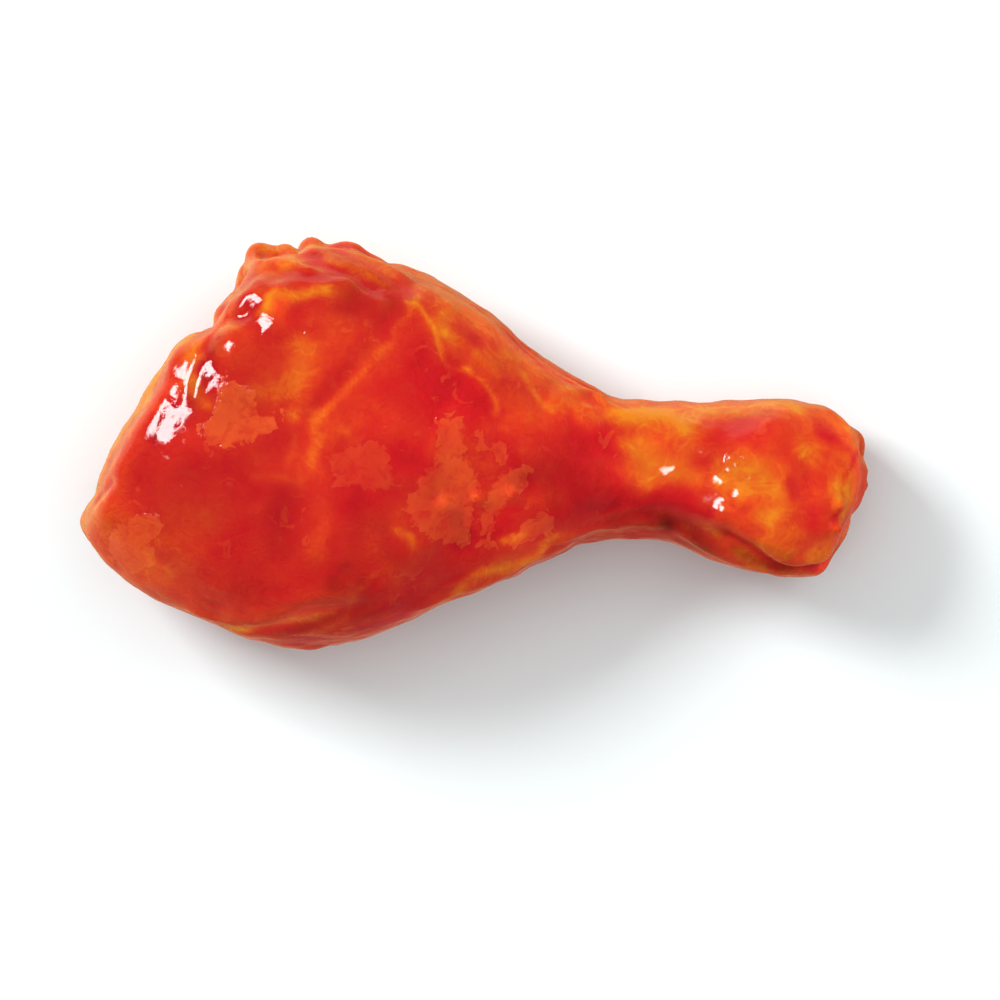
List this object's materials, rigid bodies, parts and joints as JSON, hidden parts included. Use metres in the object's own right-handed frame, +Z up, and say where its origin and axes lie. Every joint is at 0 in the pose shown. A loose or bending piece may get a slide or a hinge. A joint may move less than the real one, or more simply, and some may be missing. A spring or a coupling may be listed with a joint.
{
  "type": "raw chicken drumstick",
  "caption": "Raw chicken drumstick in a thick glossy red-orange sauce, with a broad meaty end, folded skin and a knobbly knuckle, lying on its flatter side.",
  "frame": {"origin": "under the middle of the bounding box, on the surface that the drumstick rests on", "axes": "+X from the thick meaty end to the knuckle, +Z up from the surface that it rests on, +Y away from the side whose fold hangs lowest"},
  "size_m": [0.1308, 0.0684, 0.0444],
  "materials": {
    "sauced_meat": "wet, glossy sauce, mottled from crimson to yellow-orange"
  },
  "bodies": {
    "root": {"drumstick": "sauced_meat"}
  },
  "joints": []
}
